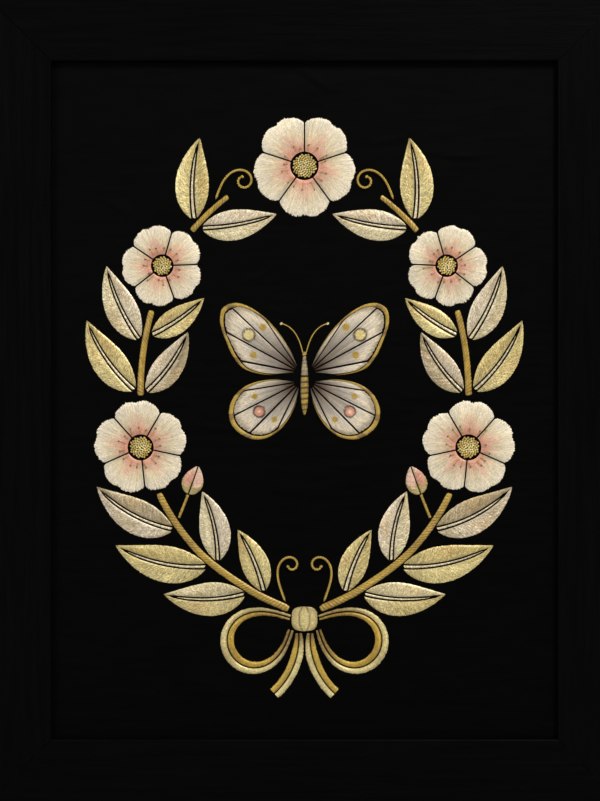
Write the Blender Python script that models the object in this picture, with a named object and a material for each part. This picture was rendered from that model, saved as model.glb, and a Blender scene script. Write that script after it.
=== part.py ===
"""Framed silk embroidery: an oval garland of satin-stitched flowers and leaves round a butterfly, tied with
a bow, on a black silk panel that is stretched over a board in a plain black frame.

Metres, +Z up. The front faces -Y and +X is to the viewer's right. The origin is the middle of the flat
back, which lies against the wall. Tables and motif sizes are in millimetres, and MM turns them into metres.
"""

import math

import bmesh
import bpy
import numpy as np

MM = 0.001
PIECE_GAP = 0.0003

# Frame
SIGHT_WIDTH = 0.330
SIGHT_HEIGHT = 0.442
FACE_WIDTH = 0.045
FRAME_DEPTH = 0.018
OUTER_BEVEL = 0.0012
SIGHT_BEVEL = 0.0009
RABBET_WIDTH = 0.008
RABBET_PLAY = 0.001

# What the rabbet holds, from the back to the front
BOARD_THICKNESS = 0.012
SILK_THICKNESS = 0.001
SILK_BACK = BOARD_THICKNESS + PIECE_GAP
SILK_FRONT = SILK_BACK + SILK_THICKNESS
RABBET_DEPTH = SILK_FRONT + PIECE_GAP
PANEL_WIDTH = SIGHT_WIDTH + 2 * (RABBET_WIDTH - RABBET_PLAY)
PANEL_HEIGHT = SIGHT_HEIGHT + 2 * (RABBET_WIDTH - RABBET_PLAY)

# Embroidery, in millimetres: how far each kind of motif stands proud at its edge and at its crown
PAD_BACK = RABBET_DEPTH
EDGE = 0.40
LEAF_RISE = 0.75
LEAF_FULLNESS = 0.78
PETAL_RISE = 0.70
WING_RISE = 0.60
CORD_RISE = 0.60
STEM_HALF_WIDTH = 2.2
STEM_CLEARANCE = 1.4
NARROWEST = 0.25

# The branch of the right half, from the knot of the bow to the top flower: (x, z) from the panel's middle
BRANCH_POINTS = (
    (-27, -163),
    (0, -142),
    (36, -124),
    (72, -96),
    (98, -54),
    (107, -2),
    (102, 50),
    (84, 96),
    (55, 129),
    (20, 150),
)

# name, share of the branch where it starts and ends, width at the start and the end
STEMS = (
    ("stem_low", 0.112, 0.396, 4.8, 4.3),
    ("stem_mid", 0.556, 0.693, 4.3, 3.9),
    ("stem_top", 0.836, 0.916, 3.9, 3.2),
)

# name, share of the branch, side (1 is outside), lean from the stem, length, width, turn towards the tip
LEAVES = (
    ("leaf_a", 0.184, 1, 48, 54, 22, 30),
    ("leaf_b", 0.258, 1, 44, 62, 24, 34),
    ("leaf_c", 0.336, 1, 44, 58, 23, 36),
    ("leaf_d", 0.160, -1, 50, 44, 18, 20),
    ("leaf_e", 0.250, -1, 52, 47, 20, 26),
    ("leaf_f", 0.564, 1, 50, 56, 22, 30),
    ("leaf_g", 0.644, 1, 46, 53, 21, 24),
    ("leaf_h", 0.562, -1, 48, 48, 19, 26),
    ("leaf_i", 0.655, -1, 54, 42, 17, 20),
    ("leaf_j", 0.852, 1, 52, 54, 22, 26),
    ("leaf_k", 0.850, -1, 46, 50, 20, 18),
)

# name, share of the branch, offset outwards from it, radius, turn of its first petal
BLOOMS = (
    ("bloom_side", 0.474, 3, 31, 6),
    ("bloom_upper", 0.765, 4, 27, 20),
)
TOP_BLOOM = (0, 153, 34, 36)
PETALS = 5
PETAL_VALLEY = 0.82
PETAL_NOTCH = 0.05
NOTCH_WIDTH = 0.18
GROOVE_WIDTH = 0.12
EYE_SHARE = 0.255

# name, share of the branch, side, lean, length, turn, curl (how late the turn comes), width
TENDRILS = (
    ("curl_in", 0.122, -1, 46, 50, 360, 3.0, 1.9),
    ("curl_out", 0.898, 1, 30, 56, -420, 2.4, 1.9),
)

# name, share of the branch, side, lean, length, width, turn
BUDS = (("bud", 0.346, -1, 56, 36, 14, 4),)
BUD_STALK_SHARE = 0.45
BUD_STALK_WIDTH = 1.8

# Bow: the knot's middle and half sizes, then a loop and a tail of the right half
KNOT_HEIGHT = -143
KNOT_HALF_WIDTH = 8.5
KNOT_HALF_HEIGHT = 8.0
KNOT_SQUARENESS = 3.2
KNOT_TOP = 1.5
LOOP_REACH = 47
LOOP_START = 7.2
LOOP_DROOP = 29
LOOP_FULLNESS = 1.08
LOOP_LOWER_CLOSURE = 0.985
LOOP_UPPER_CLOSURE = 0.9985
LOOP_RIBBON = 9.0
TAIL_START = (3.8, -152.4)
TAIL_HEADING = 184
TAIL_LENGTH = 44
TAIL_TURN = -52
TAIL_RIBBON = 8.0

# Butterfly: heading from the wing's root in degrees, then reach
UPPER_WING = (
    (24, 13),
    (29, 31),
    (35, 48),
    (42, 61),
    (50, 66),
    (58, 62),
    (67, 53),
    (77, 45),
    (87, 36),
    (95, 20),
)
LOWER_WING = (
    (84, 15),
    (92, 32),
    (101, 43),
    (111, 50),
    (121, 53),
    (131, 52),
    (142, 48),
    (152, 40),
    (161, 28),
    (168, 14),
)
UPPER_WING_ROOT = (2.6, 18)
LOWER_WING_ROOT = (2.6, 12)
WING_ROOT_GAP = 4
BODY_START = -10
BODY_LENGTH = 42
BODY_HALF_WIDTH = 2.6

# Colour and roughness of each kind of piece
FINISHES = {
    "frame": ((0.010, 0.010, 0.010), 0.45),
    "board": ((0.170, 0.120, 0.075), 0.90),
    "silk": ((0.003, 0.003, 0.004), 0.60),
    "bloom": ((0.780, 0.680, 0.520), 0.45),
    "leaf": ((0.600, 0.490, 0.240), 0.45),
    "stem": ((0.430, 0.270, 0.080), 0.50),
    "bud": ((0.720, 0.380, 0.280), 0.45),
    "ribbon": ((0.660, 0.540, 0.260), 0.45),
    "wing": ((0.560, 0.490, 0.400), 0.45),
}


def collection(name):
    made = bpy.data.collections.new(name)
    bpy.context.scene.collection.children.link(made)
    return made


def clear_scene():
    for obj in list(bpy.data.objects):
        bpy.data.objects.remove(obj)


def material(name, kind):
    colour, roughness = FINISHES[kind]
    made = bpy.data.materials.new(name)
    made.use_nodes = True
    shader = made.node_tree.nodes["Principled BSDF"]
    shader.inputs["Base Color"].default_value = (*colour, 1.0)
    shader.inputs["Roughness"].default_value = roughness
    shader.inputs["Metallic"].default_value = 0.0
    return made


def piece(name, kind, mesh, smooth=True):
    """An object of its own for one piece, with a material of its own."""
    bmesh.ops.recalc_face_normals(mesh, faces=mesh.faces[:])
    if mesh.calc_volume(signed=True) < 0:
        bmesh.ops.reverse_faces(mesh, faces=mesh.faces[:])
    data = bpy.data.meshes.new(name)
    mesh.to_mesh(data)
    mesh.free()
    if smooth:
        data.shade_smooth()
        data.set_sharp_from_angle(angle=math.radians(50))
    data.materials.append(material(f"{name}_finish", kind))
    obj = bpy.data.objects.new(name, data)
    PARTS.objects.link(obj)
    return obj


def headings(x, z):
    """The direction of travel through the points, in radians clockwise from +Z."""
    return np.unwrap(np.arctan2(np.gradient(x), np.gradient(z)))


def walk(start, heading, length, turn, curl=1.0, steps=200):
    """A path of rows x, z and heading, which leaves start at a heading in degrees and turns as it goes.

    The turn comes late where curl is high.
    """
    share = (np.arange(steps) + 0.5) / steps
    angles = np.radians(heading + turn * share**curl)
    x = start[0] + np.concatenate([[0], np.cumsum(np.sin(angles))]) * length / steps
    z = start[1] + np.concatenate([[0], np.cumsum(np.cos(angles))]) * length / steps
    ends = np.arange(steps + 1) / steps
    return np.array([x, z, np.radians(heading + turn * ends**curl)])


def smooth_curve(rows, samples):
    """A Catmull-Rom curve through the rows."""
    table = np.array(rows, float)
    table = np.concatenate([[2 * table[0] - table[1]], table, [2 * table[-1] - table[-2]]])
    place = np.linspace(0, len(rows) - 1, samples)
    left = np.minimum(place.astype(int), len(rows) - 2)
    t = (place - left)[:, None]
    before, near, far, after = (table[left + step] for step in range(4))
    return 0.5 * (
        2 * near
        + (far - before) * t
        + (2 * before - 5 * near + 4 * far - after) * t**2
        + (3 * near - before - 3 * far + after) * t**3
    )


def route(points, steps=400):
    """A path along a smooth curve through the points."""
    curve = smooth_curve(points, 2000)
    travelled = np.concatenate([[0], np.cumsum(np.hypot(*np.diff(curve, axis=0).T))])
    even = np.linspace(0, travelled[-1], steps + 1)
    x = np.interp(even, travelled, curve[:, 0])
    z = np.interp(even, travelled, curve[:, 1])
    return np.array([x, z, headings(x, z)])


def along(path, share, offset=0.0):
    """The point at a share of the path's length, offset to its right, and the heading there."""
    steps = np.linspace(0, 1, path.shape[1])
    x, z, heading = (np.interp(share, steps, row) for row in path)
    return x + offset * math.cos(heading), z - offset * math.sin(heading), heading


def swell(share, fullness, blunt):
    """Half a leaf's width at a share of its length: nothing at both ends, widest nearer the base."""
    return max(0.0, math.sin(math.pi * min(max(share, 0.0), 1.0) ** fullness)) ** blunt


def padded(name, kind, place, rise, rows, columns, flip=1):
    """A pad with its flat back on the silk. place(u, v) gives its point and rise(u, v) its height, in mm."""
    mesh = bmesh.new()
    bmesh.ops.create_grid(mesh, x_segments=columns, y_segments=rows, size=0.5)
    made = bmesh.ops.extrude_face_region(mesh, geom=mesh.faces[:])["geom"]
    front = {element for element in made if isinstance(element, bmesh.types.BMVert)}
    for vertex in mesh.verts:
        u = vertex.co.y + 0.5
        v = 2 * vertex.co.x
        x, z = place(u, v)
        height = rise(u, v) if vertex in front else 0.0
        vertex.co = (flip * x * MM, -PAD_BACK - height * MM, z * MM)
    return piece(name, kind, mesh)


def both_sides(name):
    """The names of a motif and of its mirror image, each with its sign."""
    return ((f"{name}_right", 1), (f"{name}_left", -1))


def band(name, kind, path, half_width, rise, rows, columns=4, start=0.0, end=1.0, flip=1):
    """A pad along part of a path. half_width(u) is in mm."""

    def place(u, v):
        x, z, _ = along(path, start + (end - start) * u, v * half_width(u))
        return x, z

    return padded(name, kind, place, rise, rows, columns, flip)


def round_back(u, v):
    """A laid cord: highest along its middle."""
    return EDGE + CORD_RISE * math.sqrt(max(0.0, 1 - v * v))


def stems():
    for name, start, end, first, last in STEMS:
        for side_name, flip in both_sides(name):
            band(
                side_name,
                "stem",
                BRANCH,
                lambda u, a=first, b=last: (a + (b - a) * u) / 2,
                round_back,
                rows=14,
                start=start,
                end=end,
                flip=flip,
            )


def sprout(share, side, lean, length, turn, curl=1.0):
    """The path of what grows from the branch, from just clear of the stem's edge."""
    x, z, heading = along(BRANCH, share, side * (STEM_HALF_WIDTH + STEM_CLEARANCE))
    return walk((x, z), math.degrees(heading) + side * lean, length, side * turn, curl)


def leaves():
    for name, share, side, lean, length, width, turn in LEAVES:
        path = sprout(share, side, lean, length, -turn)

        def half_width(u, full=width / 2):
            return max(NARROWEST, full * swell(u, LEAF_FULLNESS, 0.88))

        def rise(u, v):
            crown = math.sin(math.pi * abs(v)) ** 0.7 if 0 < abs(v) < 1 else 0.0
            return EDGE + LEAF_RISE * crown * swell(u, LEAF_FULLNESS, 0.4)

        for side_name, flip in both_sides(name):
            band(side_name, "leaf", path, half_width, rise, rows=9, columns=6, flip=flip)


def petal_edge(angle, turn):
    """Share of the flower's radius at an angle, and how deep in the groove between petals the angle is."""
    across = ((angle - turn) % (360 / PETALS)) / (360 / PETALS) * 2 - 1
    bulge = math.cos(across * math.pi / 2) ** 0.6 if abs(across) < 1 else 0.0
    notch = math.exp(-((across / NOTCH_WIDTH) ** 2))
    groove = math.exp(-(((1 - abs(across)) / GROOVE_WIDTH) ** 2))
    return PETAL_VALLEY + (1 - PETAL_VALLEY) * bulge - PETAL_NOTCH * notch, groove


def bloom(name, x, z, radius, turn, flip=1):
    """A flower head: a sphere whose front half becomes the petals and whose back half is pressed flat."""
    # share of the radius and height in mm, from the middle of the front to the middle of the back
    rings = (
        (0.0, 1.5),
        (0.12, 1.45),
        (0.215, 1.1),
        (EYE_SHARE, EDGE),
        (0.30, 0.95),
        (0.55, EDGE + PETAL_RISE),
        (0.85, EDGE + PETAL_RISE),
        (0.96, 0.80),
        (1.0, EDGE),
        (1.0, 0.0),
        (0.0, 0.0),
    )
    mesh = bmesh.new()
    bmesh.ops.create_uvsphere(mesh, u_segments=40, v_segments=len(rings) - 1, radius=1.0)
    for vertex in mesh.verts:
        ring = round(math.acos(max(-1.0, min(1.0, vertex.co.z))) / math.pi * (len(rings) - 1))
        angle = math.atan2(vertex.co.x, vertex.co.y)
        share, height = rings[ring]
        edge, groove = petal_edge(math.degrees(angle), turn)
        if share > EYE_SHARE:
            height -= groove * max(0.0, height - EDGE)
            share *= 1 + (edge - 1) * (share - EYE_SHARE) / (1 - EYE_SHARE)
        reach = radius * share
        vertex.co = (
            flip * (x + reach * math.sin(angle)) * MM,
            -PAD_BACK - height * MM,
            (z + reach * math.cos(angle)) * MM,
        )
    return piece(name, "bloom", mesh)


def blooms():
    for name, share, offset, radius, turn in BLOOMS:
        x, z, _ = along(BRANCH, share, offset)
        for side_name, flip in both_sides(name):
            bloom(side_name, x, z, radius, turn, flip)
    bloom("bloom_top", *TOP_BLOOM)


def tendrils():
    for name, share, side, lean, length, turn, curl, width in TENDRILS:
        path = sprout(share, side, lean, length, turn, curl)
        for side_name, flip in both_sides(name):
            band(
                side_name,
                "stem",
                path,
                lambda u, full=width / 2: full * (1.2 - 0.6 * u),
                round_back,
                rows=32,
                columns=2,
                flip=flip,
            )


def buds():
    for name, share, side, lean, length, width, turn in BUDS:
        path = sprout(share, side, lean, length, -turn)
        stalk = BUD_STALK_WIDTH / 2

        def half_width(u, full=width / 2):
            if u <= BUD_STALK_SHARE:
                return stalk
            head = (u - BUD_STALK_SHARE) / (1 - BUD_STALK_SHARE)
            return max(NARROWEST, stalk * (1 - head) + (full - stalk) * swell(head, 0.8, 0.75))

        for side_name, flip in both_sides(name):
            band(side_name, "bud", path, half_width, round_back, rows=18, flip=flip)


def ribbon_rise(u, v):
    """A ribbon in satin stitch: flat across, a little lower at its two edges."""
    return EDGE + CORD_RISE * (1 - v**4)


def loop_path(samples=120):
    """One lobe of a figure of eight, tilted down at its outer end."""
    angles = np.linspace(-LOOP_LOWER_CLOSURE, LOOP_UPPER_CLOSURE, samples) * math.pi / 4
    reach = LOOP_REACH * np.sqrt(np.cos(2 * angles))
    out = reach * np.cos(angles)
    up = reach * np.sin(angles) * LOOP_FULLNESS
    droop = math.radians(-LOOP_DROOP)
    x = LOOP_START + out * math.cos(droop) - up * math.sin(droop)
    z = KNOT_HEIGHT + out * math.sin(droop) + up * math.cos(droop)
    return np.array([x, z, headings(x, z)])


def bow():
    loop = loop_path()
    tail = walk(TAIL_START, TAIL_HEADING, TAIL_LENGTH, TAIL_TURN)

    def loop_width(u):
        return LOOP_RIBBON / 2 * (0.4 + 0.6 * max(0.0, math.sin(math.pi * u)) ** 0.7)

    def tail_width(u):
        return TAIL_RIBBON / 2 * (0.5 + 0.5 * min(1.0, 3 * u) ** 0.7)

    for name, flip in both_sides("bow_loop"):
        band(name, "ribbon", loop, loop_width, ribbon_rise, rows=26, flip=flip)
    for name, flip in both_sides("bow_tail"):
        band(name, "ribbon", tail, tail_width, ribbon_rise, rows=12, flip=flip)

    def knot_place(u, v):
        across = KNOT_HALF_WIDTH * (1 - abs(2 * u - 1) ** KNOT_SQUARENESS) ** (1 / KNOT_SQUARENESS)
        return v * max(KNOT_TOP, across), KNOT_HEIGHT + KNOT_HALF_HEIGHT * (2 * u - 1)

    padded("bow_knot", "ribbon", knot_place, round_back, rows=12, columns=6)


def wing(name, root, table, flip):
    """A wing fanned out from its root: u turns from its front edge to its back edge, v goes to its rim."""
    rim = smooth_curve(table, 60)
    shares = np.linspace(0, 1, len(rim))

    def place(u, v):
        heading = math.radians(np.interp(u, shares, rim[:, 0]))
        reach = np.interp(u, shares, rim[:, 1])
        distance = WING_ROOT_GAP + (reach - WING_ROOT_GAP) * (v + 1) / 2
        return root[0] + distance * math.sin(heading), root[1] + distance * math.cos(heading)

    def rise(u, v):
        return EDGE + WING_RISE * (1 - v**4) * (1 - (2 * u - 1) ** 4)

    return padded(name, "wing", place, rise, rows=12, columns=5, flip=flip)


def butterfly():
    for name, flip in both_sides("wing_upper"):
        wing(name, UPPER_WING_ROOT, UPPER_WING, flip)
    for name, flip in both_sides("wing_lower"):
        wing(name, LOWER_WING_ROOT, LOWER_WING, flip)
    path = walk((0, BODY_START), 0, BODY_LENGTH, 0)
    band(
        "butterfly_body",
        "stem",
        path,
        lambda u: max(NARROWEST, BODY_HALF_WIDTH * swell(u, 0.8, 0.6)),
        round_back,
        rows=12,
    )


def rail(name, lies_along_x, side):
    """One rail, mitred at both ends. Its section is drawn as (distance in from the outer edge, depth)."""
    section = (
        (0.0, 0.0),
        (0.0, FRAME_DEPTH - OUTER_BEVEL),
        (OUTER_BEVEL, FRAME_DEPTH),
        (FACE_WIDTH - SIGHT_BEVEL, FRAME_DEPTH),
        (FACE_WIDTH, FRAME_DEPTH - SIGHT_BEVEL),
        (FACE_WIDTH, RABBET_DEPTH),
        (FACE_WIDTH - RABBET_WIDTH, RABBET_DEPTH),
        (FACE_WIDTH - RABBET_WIDTH, 0.0),
    )
    half_width = SIGHT_WIDTH / 2 + FACE_WIDTH
    half_height = SIGHT_HEIGHT / 2 + FACE_WIDTH
    half_length, reach = (half_width, half_height) if lies_along_x else (half_height, half_width)
    mitred_end = PIECE_GAP / 2 * math.sqrt(2) - half_length
    mesh = bmesh.new()
    end = [mesh.verts.new((inwards + mitred_end, inwards, depth)) for inwards, depth in section]
    made = bmesh.ops.extrude_face_region(mesh, geom=[mesh.faces.new(end)])["geom"]
    for vertex in made:
        if isinstance(vertex, bmesh.types.BMVert):
            vertex.co.x = -vertex.co.x
    for vertex in mesh.verts:
        run, inwards, depth = vertex.co
        across = side * (reach - inwards)
        vertex.co = (run, -depth, across) if lies_along_x else (across, -depth, run)
    return piece(name, "frame", mesh, smooth=False)


def sheet(name, kind, back, thickness):
    """A flat sheet that fills the rabbet."""
    mesh = bmesh.new()
    bmesh.ops.create_cube(mesh, size=1.0)
    for vertex in mesh.verts:
        vertex.co.x *= PANEL_WIDTH
        vertex.co.y = -back - thickness * (vertex.co.y + 0.5)
        vertex.co.z *= PANEL_HEIGHT
    return piece(name, kind, mesh, smooth=False)


def frame():
    rail("frame_top", True, 1)
    rail("frame_bottom", True, -1)
    rail("frame_right", False, 1)
    rail("frame_left", False, -1)


def main():
    frame()
    sheet("mount_board", "board", 0.0, BOARD_THICKNESS)
    sheet("silk_ground", "silk", SILK_BACK, SILK_THICKNESS)
    stems()
    leaves()
    blooms()
    tendrils()
    buds()
    bow()
    butterfly()


clear_scene()
PARTS = collection("framed_silk_embroidery")
BRANCH = route(BRANCH_POINTS)
main()
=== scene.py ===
"""Looks of the framed silk embroidery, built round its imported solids.

Metres, +Z up, the front faces -Y and +X is to the viewer's right. Motif tables are in millimetres from
the middle of the silk, and MM turns them into metres. Every motif is made of threads: a patch is a grid
whose columns run along the threads, one in each groove between two threads and one on each crest.
"""

import math

import bmesh
import bpy
import numpy as np
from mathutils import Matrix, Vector


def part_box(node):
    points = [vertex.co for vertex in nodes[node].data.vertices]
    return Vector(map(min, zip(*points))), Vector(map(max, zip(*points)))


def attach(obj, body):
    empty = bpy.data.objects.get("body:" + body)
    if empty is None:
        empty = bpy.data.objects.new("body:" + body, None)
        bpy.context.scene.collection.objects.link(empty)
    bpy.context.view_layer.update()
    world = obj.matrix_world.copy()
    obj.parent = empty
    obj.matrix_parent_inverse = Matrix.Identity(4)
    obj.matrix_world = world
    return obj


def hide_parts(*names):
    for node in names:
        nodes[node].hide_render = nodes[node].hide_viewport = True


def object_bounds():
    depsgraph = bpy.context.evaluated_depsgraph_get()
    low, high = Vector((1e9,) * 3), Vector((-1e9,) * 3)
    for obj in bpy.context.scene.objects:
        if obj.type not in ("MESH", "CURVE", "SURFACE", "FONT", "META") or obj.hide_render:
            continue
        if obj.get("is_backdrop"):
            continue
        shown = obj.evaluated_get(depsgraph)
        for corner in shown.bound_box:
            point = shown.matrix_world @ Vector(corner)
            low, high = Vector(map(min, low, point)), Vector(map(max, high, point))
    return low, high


MM = 0.001
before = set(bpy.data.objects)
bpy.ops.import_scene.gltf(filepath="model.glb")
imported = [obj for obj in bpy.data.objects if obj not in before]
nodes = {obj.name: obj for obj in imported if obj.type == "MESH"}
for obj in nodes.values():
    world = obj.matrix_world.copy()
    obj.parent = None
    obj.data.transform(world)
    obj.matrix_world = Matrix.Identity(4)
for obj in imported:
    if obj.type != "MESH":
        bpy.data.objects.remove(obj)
cad_low, cad_high = (list(corner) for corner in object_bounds())

# The photograph's size and scale, the middle of the sight opening in it, and the camera's lens
IMAGE_WIDTH = 600
IMAGE_HEIGHT = 801
PIXEL = 0.6535 * MM
SIGHT_MIDDLE_PIXEL = (304.5, 400.0)
LENS = 100.0
SENSOR = 36.0

# The silk's faces in metres, and half of the sight opening in mm
silk_low, silk_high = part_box("silk_ground")
SILK_FRONT = silk_low.y
SILK_BACK = silk_high.y
SIGHT_HALF_WIDTH = 165
SIGHT_HALF_HEIGHT = 221

# Threads, in mm: how far a patch's back is sunk into the silk, how far apart the threads lie, how high
# their sides stand, how deep the grooves are, the bare strip between two patches, and half a slim one
SINK = 0.05
PITCH = 0.50
THREAD_BASE = 0.50
GROOVE = 0.15
VOID = 0.95
SLIM_VOID = 0.36

# How unlike the threads of a patch are in height and tone, and how much painted shade darkens the grooves
LOFT_SPREAD = 0.20
TONE_SPREAD = 0.06
GROOVE_SHADE = 0.12

# The power that rounds a thread's ends, less being blunter, and how evenly its points lie, from 0 to 1
END_ROUNDNESS = 0.42
EVENNESS = 0.35

# How far the padding under the threads lifts each kind of patch, in mm
LEAF_LOFT = 0.62
RIB_LOFT = 0.10
PETAL_LOFT = 0.66
EYE_LOFT = 0.55
BAND_LOFT = 0.45
STALK_LOFT = 0.20
BODY_LOFT = 0.55
BUD_LOFT = 0.65
KNOT_LOFT = 0.62
WING_LOFT = 0.50
BORDER_LOFT = 0.35

# Couched threads: mm between their points, then the radius of a ply and of its path round the others as
# shares of the thread's radius
ROPE_STEP = 0.5
PLY_SHARE = 0.62
ORBIT_SHARE = 0.55

# The branch of the right half, from the bow to the top flower: x and z from the panel's middle
BRANCH_POINTS = (
    (-27, -163),
    (0, -142),
    (36, -124),
    (72, -96),
    (98, -54),
    (107, -2),
    (102, 50),
    (84, 96),
    (55, 129),
    (20, 150),
)
STEM_HALF_WIDTH = 2.2
STEM_CLEARANCE = 1.4
STEM_STITCH = 2.2
STEM_SLANT = 5.0

# name, share of the branch where it starts and ends, width at the start and the end
STEMS = (
    ("stem_low", 0.112, 0.396, 4.8, 4.3),
    ("stem_mid", 0.556, 0.693, 4.3, 3.9),
    ("stem_top", 0.836, 0.916, 3.9, 3.2),
)

# name, share of the branch, side (1 is outside), lean from the stem, length, width, turn towards the
# tip, silk of the outer and the inner half, whose unlike brightness is partly painted sheen
LEAVES = (
    ("leaf_a", 0.184, 1, 48, 54, 22, 30, "gold", "pale"),
    ("leaf_b", 0.258, 1, 44, 62, 24, 34, "bright", "gold"),
    ("leaf_c", 0.336, 1, 44, 58, 23, 36, "silver", "beige"),
    ("leaf_d", 0.160, -1, 50, 44, 18, 20, "gold", "bright"),
    ("leaf_e", 0.250, -1, 52, 47, 20, 26, "pale", "silver"),
    ("leaf_f", 0.564, 1, 50, 56, 22, 30, "bright", "gold"),
    ("leaf_g", 0.644, 1, 46, 53, 21, 24, "pale", "silver"),
    ("leaf_h", 0.562, -1, 48, 48, 19, 26, "silver", "beige"),
    ("leaf_i", 0.655, -1, 54, 42, 17, 20, "gold", "bright"),
    ("leaf_j", 0.852, 1, 52, 54, 22, 26, "bright", "gold"),
    ("leaf_k", 0.850, -1, 46, 50, 20, 18, "silver", "pale"),
)

# Powers of the outline, shares of the length by which the stitches slant and keep from both ends, and
# half of the rib's width at the tip with what it gains towards the base
LEAF_FULLNESS = 0.78
LEAF_BLUNTNESS = 0.88
LEAF_SLANT = 0.15
LEAF_END_GAP = 0.012
RIB_TIP = 0.25
RIB_TAPER = 0.60

# name, share of the branch, offset outwards from it, radius, turn of its first petal
BLOOMS = (
    ("bloom_side", 0.474, 3, 31, 6),
    ("bloom_upper", 0.765, 4, 27, 20),
)
TOP_BLOOM = (0, 153, 34, 36)

# Petals: their number, then as shares of the flower's radius where two of them meet and how deep the
# notch in each is, and the notch's width as a share of half a petal's
PETALS = 5
PETAL_VALLEY = 0.82
PETAL_NOTCH = 0.05
NOTCH_WIDTH = 0.18

# Middle of a flower, with shares of its radius, and mm for what is thick or stands up
EYE_SHARE = 0.245
THROAT_SHARE = 0.272
KNOT_RADIUS = 0.72
STAMENS_A_PETAL = 3
STAMEN_START = 0.29
STAMEN_END = 0.44
STAMEN_RADIUS = 0.22
STAMEN_LIFT = 0.95
ANTHER_RADIUS = 0.62
ANTHER_LIFT = 1.0

# name, share of the branch, side, lean, length, turn, curl (how late the turn comes)
TENDRILS = (
    ("curl_in", 0.122, -1, 46, 50, 360, 3.0),
    ("curl_out", 0.898, 1, 30, 56, -420, 2.4),
)
TENDRIL_RADIUS = 0.76
TENDRIL_TWIST = 3.2
TENDRIL_KNOT = 1.045

# name, share of the branch, side, lean, length, width, turn
BUDS = (("bud", 0.346, -1, 56, 36, 14, 4),)
BUD_STALK_SHARE = 0.45
BUD_STALK_WIDTH = 1.8
BUD_STALK_SLANT = 2.0

# Bow
KNOT_HEIGHT = -143
KNOT_HALF_WIDTH = 8.5
KNOT_HALF_HEIGHT = 8.0
KNOT_SQUARENESS = 3.2
KNOT_TOP = 1.5
KNOT_CREASE = 0.42
LOOP_REACH = 47
LOOP_START = 7.2
LOOP_DROOP = 29
LOOP_FULLNESS = 1.08
LOOP_LOWER_CLOSURE = 0.985
LOOP_UPPER_CLOSURE = 0.9985
LOOP_RIBBON = 9.0
TAIL_START = (3.8, -152.4)
TAIL_HEADING = 184
TAIL_LENGTH = 44
TAIL_TURN = -52
TAIL_RIBBON = 8.0

# Butterfly: heading from the wing's root in degrees, then reach
UPPER_WING = (
    (24, 13),
    (29, 31),
    (35, 48),
    (42, 61),
    (50, 66),
    (58, 62),
    (67, 53),
    (77, 45),
    (87, 36),
    (95, 20),
)
LOWER_WING = (
    (84, 15),
    (92, 32),
    (101, 43),
    (111, 50),
    (121, 53),
    (131, 52),
    (142, 48),
    (152, 40),
    (161, 28),
    (168, 14),
)
UPPER_WING_ROOT = (2.6, 18)
LOWER_WING_ROOT = (2.6, 12)
WING_ROOT_GAP = 4
WING_BORDER = 3.0
WING_CELLS = 5
CELL_GAP = 0.4

# Spots of a wing: place across it and outwards as shares, radius, silk
UPPER_SPOTS = (
    (0.50, 0.62, 4.8, "umber"),
    (0.50, 0.62, 3.5, "bright"),
    (0.70, 0.62, 2.4, "old_gold"),
    (0.30, 0.64, 2.4, "old_gold"),
)
LOWER_SPOTS = (
    (0.50, 0.60, 4.3, "umber"),
    (0.50, 0.60, 3.1, "pink"),
    (0.50, 0.60, 1.1, "cream"),
    (0.70, 0.62, 2.0, "old_gold"),
    (0.30, 0.62, 2.0, "old_gold"),
)

BODY_START = -10
BODY_LENGTH = 42
BODY_HALF_WIDTH = 2.6

# Abdomen and thorax: shares of the body's length where they start and end, silk, stripes, their depth
BODY_PARTS = (
    (0.0, 0.60, "old_gold", 7, 0.8),
    (0.62, 0.92, "beige", 5, 0.3),
)
HEAD_PLACE = 0.955
HEAD_RADIUS = 1.5

# Feelers: root, heading, length, turn and curl, then the thread's radius and twist and the end's knot
FEELER = ((0.9, 30), 14, 26, 66, 2.0)
FEELER_RADIUS = 0.40
FEELER_TWIST = 2.4
FEELER_KNOT = 0.95

# Silk colours as linear light
COLOURS = {
    "gold": (0.615, 0.498, 0.210),
    "bright": (0.745, 0.630, 0.290),
    "pale": (0.735, 0.640, 0.400),
    "silver": (0.750, 0.650, 0.490),
    "beige": (0.450, 0.360, 0.215),
    "olive": (0.360, 0.280, 0.110),
    "old_gold": (0.480, 0.322, 0.052),
    "dark_gold": (0.210, 0.120, 0.032),
    "cream": (0.780, 0.660, 0.470),
    "white": (0.825, 0.742, 0.592),
    "pink": (0.700, 0.330, 0.230),
    "pale_pink": (0.780, 0.500, 0.370),
    "grey": (0.400, 0.340, 0.280),
    "lavender": (0.580, 0.520, 0.440),
    "amber": (0.640, 0.390, 0.130),
    "umber": (0.090, 0.055, 0.030),
}

# Creases of the silk: x and z from the middle, reach along and across, heading in degrees, height
CREASES = (
    (5, 211, 13, 2.2, 129, 0.36),
    (56, 170, 9, 2.0, 78, 0.26),
    (103, 159, 12, 1.9, 91, 0.34),
    (70, 2, 15, 2.4, 96, 0.30),
    (33, -43, 14, 2.0, 87, 0.30),
    (66, -14, 10, 2.0, 82, 0.22),
    (-60, -18, 13, 2.2, 101, 0.24),
    (-28, 82, 12, 2.4, 60, 0.22),
    (-118, 124, 16, 2.8, 118, 0.26),
    (132, -122, 14, 2.6, 64, 0.24),
    (-126, -158, 18, 3.0, 50, 0.22),
    (40, -70, 12, 2.0, 94, 0.20),
    (-8, -96, 16, 2.6, 80, 0.18),
    (4, 206, 34, 9, 84, 0.22),
    (-44, 20, 40, 9, 70, 0.18),
    (96, 150, 30, 8, 44, 0.20),
    (0, -60, 46, 10, 88, 0.20),
    (-136, -60, 30, 8, 172, 0.18),
    (148, 30, 26, 7, 4, 0.20),
    (60, -190, 40, 8, 97, 0.20),
)
CREASE_MARGIN = 12
SILK_SPACING = 1.5

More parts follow.
